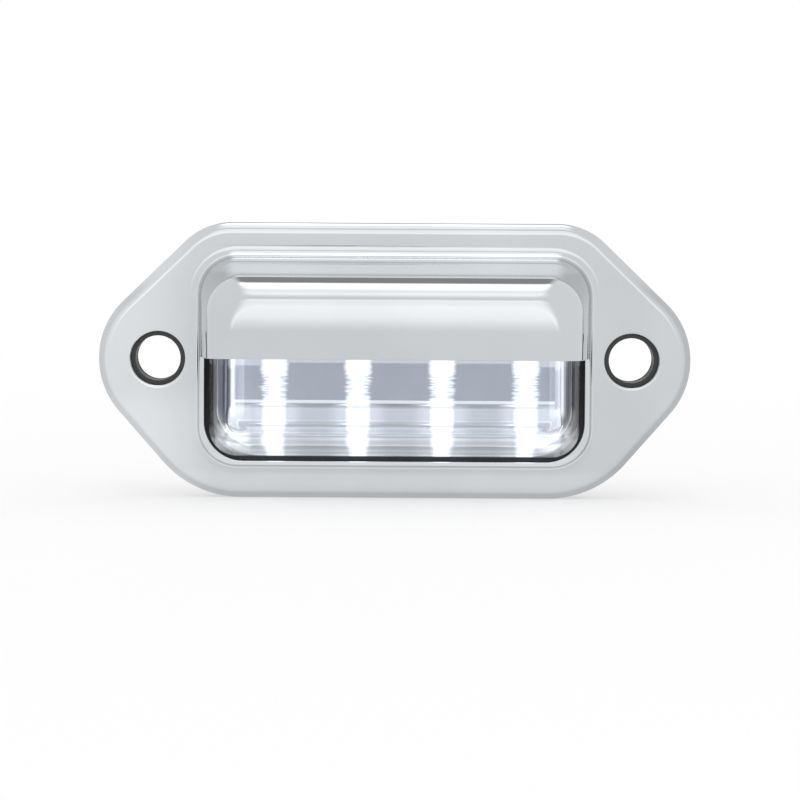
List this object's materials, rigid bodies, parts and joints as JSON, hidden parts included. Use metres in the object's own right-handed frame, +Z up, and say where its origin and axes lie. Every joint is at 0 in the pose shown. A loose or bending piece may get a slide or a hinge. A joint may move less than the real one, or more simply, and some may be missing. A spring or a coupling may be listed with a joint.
{
  "type": "number plate lamp",
  "caption": "Lit LED number plate lamp: a chromed pressed cover with a hood over a clear lens, on a moulded base with a rear gasket and a lead grommet.",
  "frame": {"origin": "on the mounting plane, midway between the axes of the two screw holes", "axes": "+X along the lamp through both screw holes, +Y into the panel that the lamp is screwed to, +Z up with the hood on top"},
  "size_m": [0.08, 0.025, 0.0372],
  "materials": {
    "chromed_sheet": "bright chrome plate on pressed sheet",
    "clear_lens": "clear moulded plastic, polished",
    "black_rubber": "smooth black rubber",
    "gasket_rubber": "closed-cell sponge rubber",
    "black_moulding": "fine-grained black moulding",
    "metallised_moulding": "vacuum-metallised, slightly soft mirror",
    "white_board": "white solder mask",
    "led_body": "white moulded package",
    "lit_phosphor": "phosphor gel, lit",
    "chip_ceramic": "glazed chip with tinned ends",
    "diode_moulding": "black moulded package",
    "tinned_brass": "tinned",
    "zinced_steel": "bright zinc plate"
  },
  "bodies": {
    "root": {"cover": "chromed_sheet", "lens": "clear_lens", "lens_seal": "black_rubber", "base": "black_moulding", "rear_gasket": "gasket_rubber", "lead_grommet": "black_rubber", "reflector": "metallised_moulding", "led_board": "white_board", "led_body_1": "led_body", "led_body_2": "led_body", "led_body_3": "led_body", "led_body_4": "led_body", "led_phosphor_1": "lit_phosphor", "led_phosphor_2": "lit_phosphor", "led_phosphor_3": "lit_phosphor", "led_phosphor_4": "lit_phosphor", "resistor_1": "chip_ceramic", "resistor_2": "chip_ceramic", "polarity_diode": "diode_moulding", "terminal_positive": "tinned_brass", "terminal_negative": "tinned_brass", "board_screws": "zinced_steel", "body_screws": "zinced_steel"}
  },
  "joints": []
}
